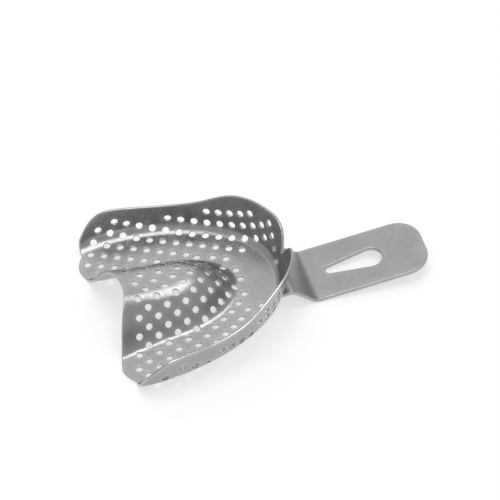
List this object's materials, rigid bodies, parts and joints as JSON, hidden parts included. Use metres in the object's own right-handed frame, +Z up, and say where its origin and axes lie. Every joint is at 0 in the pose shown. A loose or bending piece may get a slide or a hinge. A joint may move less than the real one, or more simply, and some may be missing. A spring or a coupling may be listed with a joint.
{
  "type": "dental impression tray",
  "caption": "Perforated steel upper-jaw impression tray: U-shaped walled trough round a palate dome, with a stepped flat handle that has a teardrop slot.",
  "frame": {"origin": "centre of the bounding box on the table plane, with the tray at rest on its heels and handle bend", "axes": "+X along the handle, away from the bowl; +Y to the bowl's left side; +Z up, towards the open side of the bowl"},
  "size_m": [0.1068, 0.0706, 0.0221],
  "materials": {
    "shell_steel": "satin, fine brushed stainless sheet with polished cut edges",
    "handle_steel": "satin, brushed stainless strip",
    "weld_steel": "slightly duller fused steel"
  },
  "bodies": {
    "root": {"tray_shell": "shell_steel", "handle": "handle_steel", "spot_welds": "weld_steel"}
  },
  "joints": []
}
